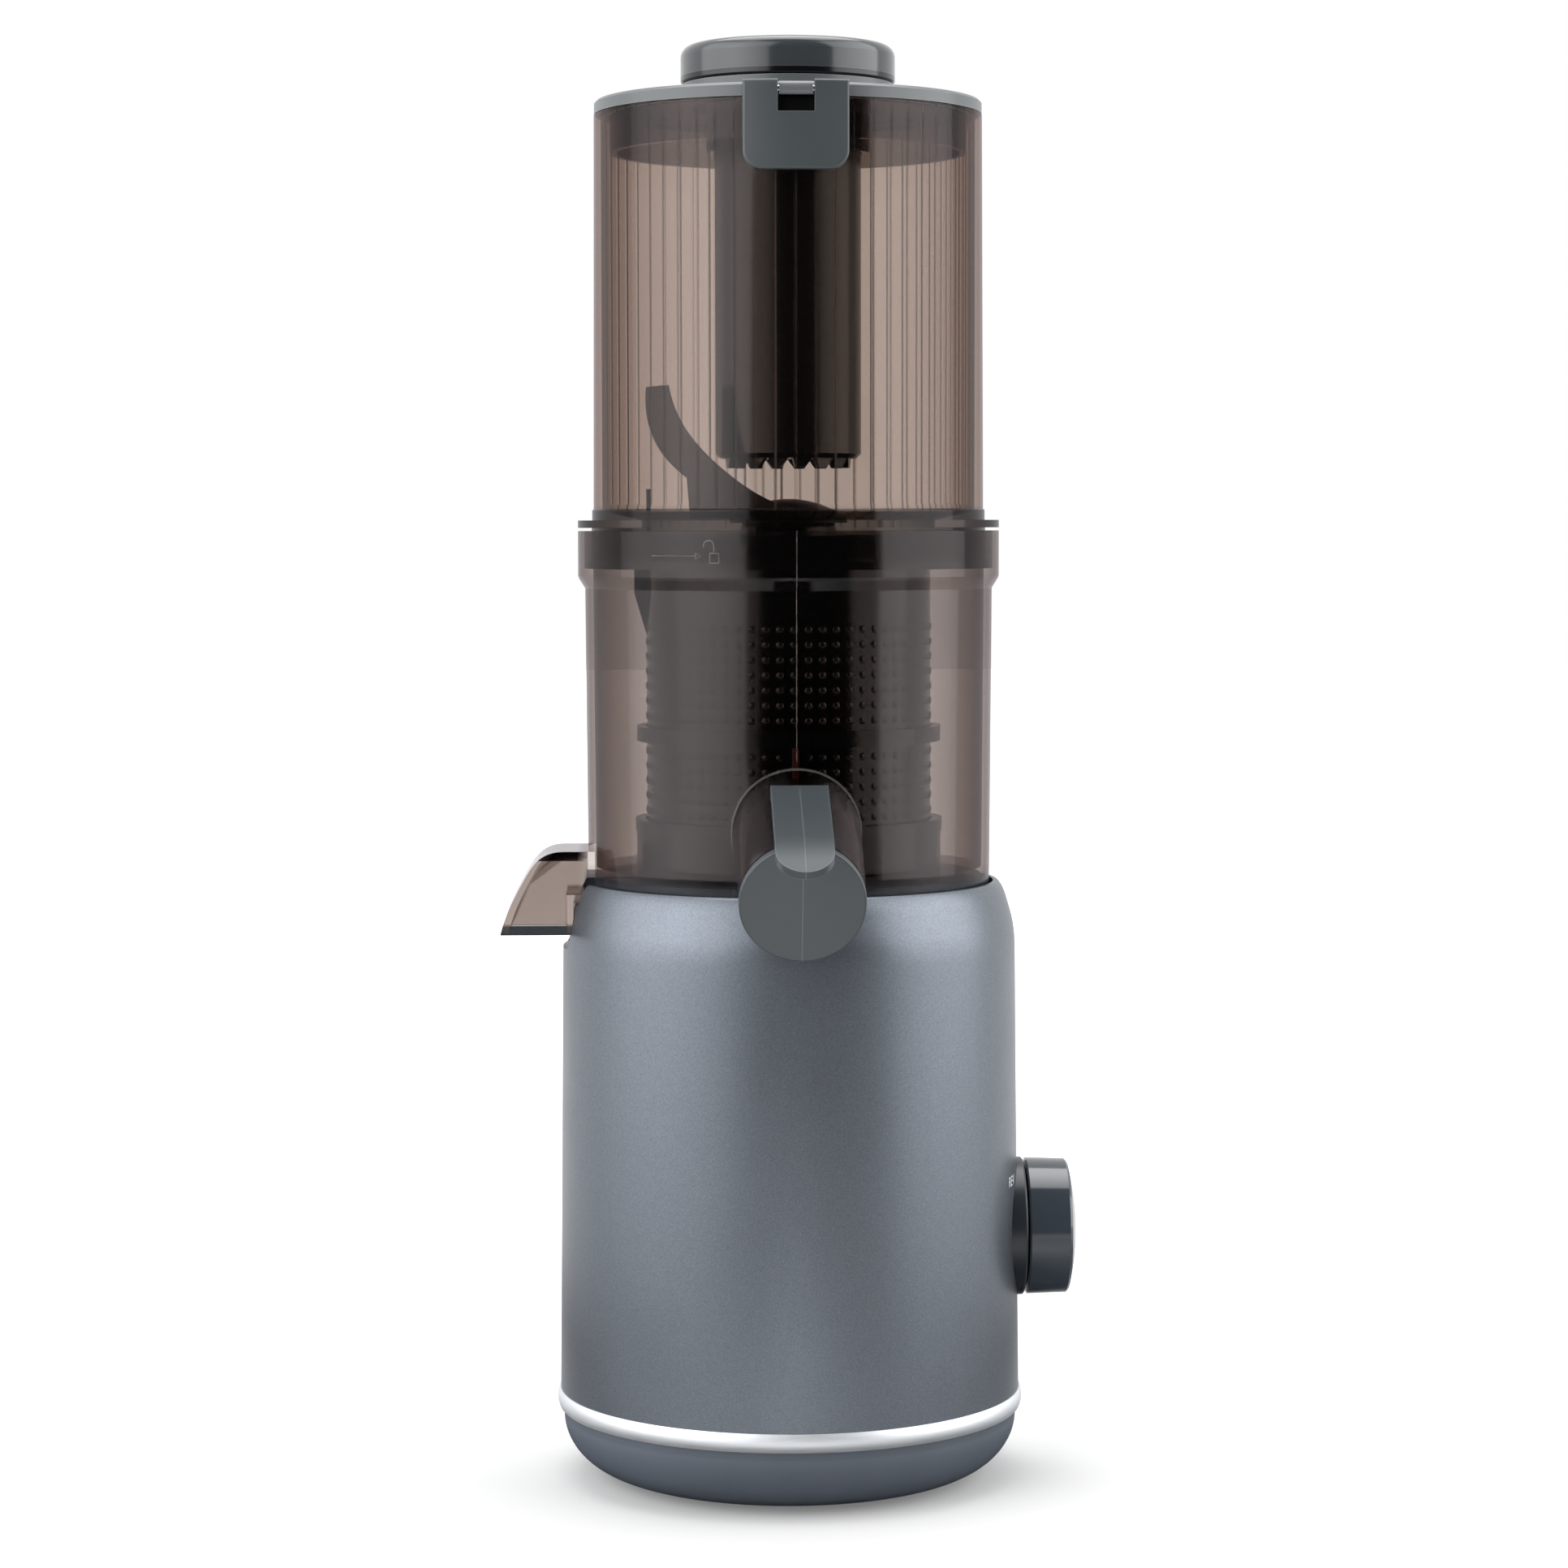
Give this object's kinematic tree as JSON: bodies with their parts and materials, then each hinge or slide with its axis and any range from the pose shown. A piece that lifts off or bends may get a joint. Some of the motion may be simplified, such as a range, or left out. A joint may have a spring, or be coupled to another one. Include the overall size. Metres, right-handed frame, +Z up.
{
  "type": "cold press juicer",
  "caption": "Upright cold press juicer with a wide see-through hopper, a pusher, a juicing bowl with spout and pulp chute, and a painted motor base with a turning knob.",
  "frame": {"origin": "on the main vertical axis at the floor, under the rubber feet", "axes": "+Z up along the auger's axis; the juice spout and the lid latch face -Y, the selector knob +X, the pulp chute -X and the cord inlet +Y"},
  "size_m": [0.1868, 0.2157, 0.462],
  "materials": {
    "body_paint": "smooth semi-gloss metallic blue-grey paint",
    "satin_metal": "satin silver paint",
    "grey_plastic": "fine satin moulded plastic",
    "cap_plastic": "semi-gloss moulded plastic, dark grey",
    "black_plastic": "glossy black moulded plastic",
    "soft_black": "matt black moulded plastic",
    "smoky_clear": "clear plastic with a smoky brown tint",
    "strainer_plastic": "smoky plastic frame with a dotted metal screen",
    "rubber": "matt black rubber",
    "silicone": "matt red silicone",
    "steel": "machined steel",
    "gear_plastic": "plain off-white nylon",
    "bronze": "plain sintered bronze",
    "copper": "enamelled copper",
    "ferrite": "plain dark ceramic and carbon",
    "board_green": "green board lacquer"
  },
  "bodies": {
    "base": {"base_body": "body_paint", "trim_ring": "satin_metal", "foot_bowl": "grey_plastic", "rubber_feet": "rubber", "foot_screws": "steel", "knob_bezel": "body_paint", "rotary_switch": "black_plastic", "switch_nut": "steel", "cord_gland": "black_plastic", "control_board": "board_green", "board_components": "black_plastic", "board_screws": "steel", "interlock_switch": "black_plastic", "gearbox_housing": "soft_black", "gearbox_cover": "soft_black", "gearbox_screws": "steel", "gear_pins": "steel", "shaft_bushes": "bronze", "shaft_seal": "rubber", "motor_can": "steel", "motor_end_cap": "black_plastic", "motor_bushes": "bronze", "motor_screws": "steel", "motor_magnets": "ferrite", "motor_brushes": "ferrite"},
    "rotor": {"rotor_shaft": "steel", "rotor_core": "steel", "rotor_windings": "copper", "commutator": "copper", "motor_pinion": "steel", "cooling_fan": "black_plastic"},
    "first_gear": {"first_gear": "gear_plastic"},
    "second_gear": {"second_gear": "gear_plastic"},
    "drive": {"output_gear": "steel", "drive_shaft": "steel", "shaft_clip": "steel"},
    "knob": {"selector_knob": "cap_plastic", "switch_spindle": "steel"},
    "bowl": {"bowl": "smoky_clear", "bowl_seal": "rubber", "interlock_magnet": "ferrite", "idler_pin": "steel", "strainer": "strainer_plastic"},
    "idler": {"idler_gear": "black_plastic"},
    "wiper": {"wiper_frame": "black_plastic", "wiper_blades": "silicone"},
    "auger": {"auger": "soft_black", "drive_socket": "steel", "feed_wing": "soft_black"},
    "juice_cap": {"juice_cap": "cap_plastic", "juice_cap_seal": "rubber", "juice_cap_pin": "steel"},
    "hopper": {"hopper": "smoky_clear"},
    "lid": {"hopper_lid": "smoky_clear"},
    "latch": {"lid_latch": "cap_plastic", "latch_pin": "steel"},
    "pusher": {"pusher_tube": "soft_black", "pusher_cap_base": "black_plastic", "pusher_cap": "cap_plastic"}
  },
  "joints": [
    {"name": "rotor_spin", "type": "hinge", "parent": "base", "child": "rotor", "pos_m": [0, 0, 0], "axis": [0, 0, 1], "continuous": true},
    {"name": "first_gear_spin", "type": "hinge", "parent": "base", "child": "first_gear", "pos_m": [0.014, 0.02425, 0], "axis": [0, 0, 1], "continuous": true},
    {"name": "second_gear_spin", "type": "hinge", "parent": "base", "child": "second_gear", "pos_m": [-0.014, 0.02425, 0], "axis": [0, 0, 1], "continuous": true},
    {"name": "drive_spin", "type": "hinge", "parent": "base", "child": "drive", "pos_m": [0, 0, 0], "axis": [0, 0, 1], "continuous": true},
    {"name": "auger_spin", "type": "hinge", "parent": "bowl", "child": "auger", "pos_m": [0, 0, 0], "axis": [0, 0, 1], "continuous": true},
    {"name": "idler_spin", "type": "hinge", "parent": "bowl", "child": "idler", "pos_m": [0, 0.03, 0], "axis": [0, 0, 1], "continuous": true},
    {"name": "wiper_spin", "type": "hinge", "parent": "bowl", "child": "wiper", "pos_m": [0, 0, 0], "axis": [0, 0, 1], "continuous": true},
    {"name": "knob_turn", "type": "hinge", "parent": "base", "child": "knob", "pos_m": [0.077, 0, 0.0795], "axis": [1, 0, 0], "range_deg": [-45, 45]},
    {"name": "bowl_lift", "type": "slide", "parent": "base", "child": "bowl", "axis": [0, 0, 1], "range_m": [0, 0.04]},
    {"name": "juice_cap_hinge", "type": "hinge", "parent": "bowl", "child": "juice_cap", "pos_m": [0, -0.08358, 0.22753], "axis": [-1, 0, 0], "range_deg": [0, 80]},
    {"name": "hopper_twist", "type": "hinge", "parent": "bowl", "child": "hopper", "pos_m": [0, 0, 0.308], "axis": [0, 0, 1], "range_deg": [0, 32]},
    {"name": "lid_lift", "type": "slide", "parent": "hopper", "child": "lid", "axis": [0, 0, 1], "range_m": [0, 0.14]},
    {"name": "latch_pivot", "type": "hinge", "parent": "lid", "child": "latch", "pos_m": [0, -0.065, 0.4416], "axis": [-1, 0, 0], "range_deg": [0, 35]},
    {"name": "pusher_lift", "type": "slide", "parent": "lid", "child": "pusher", "axis": [0, 0, 1], "range_m": [0, 0.12]}
  ],
  "couplings": [
    {"joint": "first_gear_spin", "follows": "rotor_spin", "ratio": -0.25},
    {"joint": "second_gear_spin", "follows": "rotor_spin", "ratio": 0.068182},
    {"joint": "drive_spin", "follows": "rotor_spin", "ratio": -0.022727},
    {"joint": "auger_spin", "follows": "rotor_spin", "ratio": -0.022727},
    {"joint": "idler_spin", "follows": "rotor_spin", "ratio": 0.022727},
    {"joint": "wiper_spin", "follows": "rotor_spin", "ratio": 0.0075758}
  ]
}
